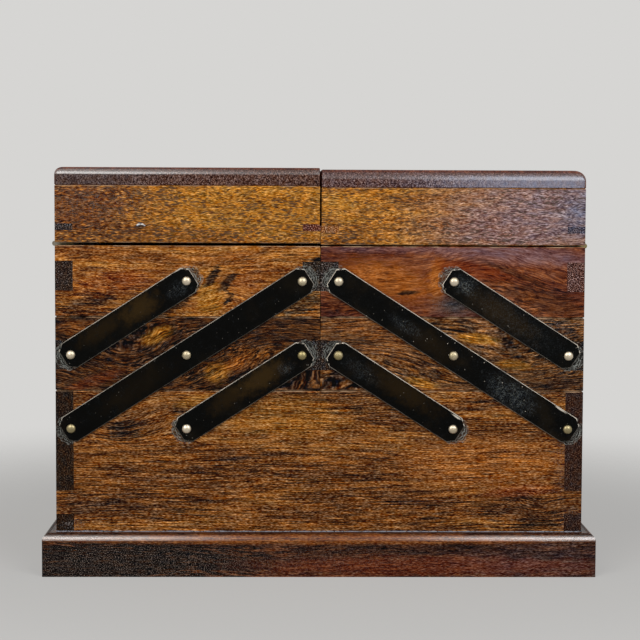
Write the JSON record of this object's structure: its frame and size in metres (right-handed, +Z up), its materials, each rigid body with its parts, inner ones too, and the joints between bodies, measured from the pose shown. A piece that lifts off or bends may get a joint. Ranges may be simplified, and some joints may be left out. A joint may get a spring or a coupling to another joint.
{
  "type": "expanding box",
  "caption": "Hardwood box on a plinth whose side trays swing out level on flat metal arms, under hinged deep lids.",
  "frame": {"origin": "centre of the plinth's underside, on the surface that the box stands on", "axes": "+X to the right along the width, -Y out of the front face, +Z up"},
  "size_m": [0.3, 0.2, 0.2211],
  "materials": {
    "front_wood": "oiled amber-brown hardwood with fine dark pores",
    "upper_wood": "oiled figured hardwood with dark streaks",
    "red_wood": "oiled reddish hardwood",
    "side_wood": "oiled dark brown hardwood with end grain at the corner fingers",
    "lid_wood": "oiled golden hardwood with short dark pores",
    "top_wood": "polished dark purple-brown hardwood",
    "plinth_wood": "polished dark red-brown hardwood",
    "floor_wood": "plain unpolished board",
    "arm_metal": "black lacquered metal with a brown cast and worn bright edges",
    "rivet_metal": "pale nickel, lightly tarnished",
    "hinge_metal": "dull old brass"
  },
  "bodies": {
    "base": {"base_front_board": "front_wood", "base_back_board": "front_wood", "base_left_board": "side_wood", "base_right_board": "side_wood", "base_floor": "floor_wood", "plinth_front_rail": "plinth_wood", "plinth_back_rail": "plinth_wood", "plinth_left_rail": "plinth_wood", "plinth_right_rail": "plinth_wood", "base_rivets": "rivet_metal"},
    "left_long_arms": {"left_long_arms": "arm_metal"},
    "left_lower_arms": {"left_lower_arms": "arm_metal"},
    "left_middle_tray": {"left_middle_front": "upper_wood", "left_middle_back": "upper_wood", "left_middle_outer": "side_wood", "left_middle_inner": "side_wood", "left_middle_floor": "floor_wood", "left_middle_rivets": "rivet_metal"},
    "left_upper_arms": {"left_upper_arms": "arm_metal"},
    "left_upper_tray": {"left_upper_front": "upper_wood", "left_upper_back": "upper_wood", "left_upper_outer": "side_wood", "left_upper_inner": "side_wood", "left_upper_floor": "floor_wood", "left_upper_rivets": "rivet_metal", "left_tray_hinge_leaves": "hinge_metal", "left_hinge_pins": "hinge_metal", "left_tray_hinge_screws": "hinge_metal"},
    "left_lid": {"left_lid_top": "top_wood", "left_lid_front": "lid_wood", "left_lid_back": "lid_wood", "left_lid_outer": "lid_wood", "left_lid_inner": "lid_wood", "left_lid_hinge_leaves": "hinge_metal", "left_lid_hinge_screws": "hinge_metal"},
    "right_long_arms": {"right_long_arms": "arm_metal"},
    "right_lower_arms": {"right_lower_arms": "arm_metal"},
    "right_middle_tray": {"right_middle_front": "front_wood", "right_middle_back": "front_wood", "right_middle_outer": "side_wood", "right_middle_inner": "side_wood", "right_middle_floor": "floor_wood", "right_middle_rivets": "rivet_metal"},
    "right_upper_arms": {"right_upper_arms": "arm_metal"},
    "right_upper_tray": {"right_upper_front": "red_wood", "right_upper_back": "red_wood", "right_upper_outer": "side_wood", "right_upper_inner": "side_wood", "right_upper_floor": "floor_wood", "right_upper_rivets": "rivet_metal", "right_tray_hinge_leaves": "hinge_metal", "right_hinge_pins": "hinge_metal", "right_tray_hinge_screws": "hinge_metal"},
    "right_lid": {"right_lid_top": "top_wood", "right_lid_front": "lid_wood", "right_lid_back": "lid_wood", "right_lid_outer": "lid_wood", "right_lid_inner": "lid_wood", "right_lid_hinge_leaves": "hinge_metal", "right_lid_hinge_screws": "hinge_metal"}
  },
  "joints": [
    {"name": "left_swing", "type": "hinge", "parent": "base", "child": "left_long_arms", "pos_m": [-0.1345, 0, 0.0801], "axis": [0, -1, 0], "range_deg": [0, 114.6]},
    {"name": "left_middle_tray_level", "type": "hinge", "parent": "left_long_arms", "child": "left_middle_tray", "pos_m": [-0.07215, 0, 0.1201], "axis": [0, -1, 0], "range_deg": [-114.6, 0]},
    {"name": "left_upper_tray_level", "type": "hinge", "parent": "left_long_arms", "child": "left_upper_tray", "pos_m": [-0.0098, 0, 0.1601], "axis": [0, -1, 0], "range_deg": [-114.6, 0]},
    {"name": "left_lower_arms_swing", "type": "hinge", "parent": "base", "child": "left_lower_arms", "pos_m": [-0.07215, 0, 0.0801], "axis": [0, -1, 0], "range_deg": [0, 114.6]},
    {"name": "left_upper_arms_swing", "type": "hinge", "parent": "left_middle_tray", "child": "left_upper_arms", "pos_m": [-0.1345, 0, 0.1201], "axis": [0, -1, 0], "range_deg": [0, 114.6]},
    {"name": "left_lid_hinge", "type": "hinge", "parent": "left_upper_tray", "child": "left_lid", "pos_m": [-0.1444, 0, 0.1798], "axis": [0, -1, 0], "range_deg": [0, 180]},
    {"name": "right_swing", "type": "hinge", "parent": "base", "child": "right_long_arms", "pos_m": [0.1345, 0, 0.0801], "axis": [0, 1, 0], "range_deg": [0, 114.6]},
    {"name": "right_middle_tray_level", "type": "hinge", "parent": "right_long_arms", "child": "right_middle_tray", "pos_m": [0.07215, 0, 0.1201], "axis": [0, 1, 0], "range_deg": [-114.6, 0]},
    {"name": "right_upper_tray_level", "type": "hinge", "parent": "right_long_arms", "child": "right_upper_tray", "pos_m": [0.0098, 0, 0.1601], "axis": [0, 1, 0], "range_deg": [-114.6, 0]},
    {"name": "right_lower_arms_swing", "type": "hinge", "parent": "base", "child": "right_lower_arms", "pos_m": [0.07215, 0, 0.0801], "axis": [0, 1, 0], "range_deg": [0, 114.6]},
    {"name": "right_upper_arms_swing", "type": "hinge", "parent": "right_middle_tray", "child": "right_upper_arms", "pos_m": [0.1345, 0, 0.1201], "axis": [0, 1, 0], "range_deg": [0, 114.6]},
    {"name": "right_lid_hinge", "type": "hinge", "parent": "right_upper_tray", "child": "right_lid", "pos_m": [0.1444, 0, 0.1794], "axis": [0, 1, 0], "range_deg": [0, 180]}
  ],
  "couplings": [
    {"joint": "left_middle_tray_level", "follows": "left_swing", "ratio": -1},
    {"joint": "left_upper_tray_level", "follows": "left_swing", "ratio": -1},
    {"joint": "left_lower_arms_swing", "follows": "left_swing", "ratio": 1},
    {"joint": "left_upper_arms_swing", "follows": "left_swing", "ratio": 1},
    {"joint": "right_middle_tray_level", "follows": "right_swing", "ratio": -1},
    {"joint": "right_upper_tray_level", "follows": "right_swing", "ratio": -1},
    {"joint": "right_lower_arms_swing", "follows": "right_swing", "ratio": 1},
    {"joint": "right_upper_arms_swing", "follows": "right_swing", "ratio": 1}
  ]
}
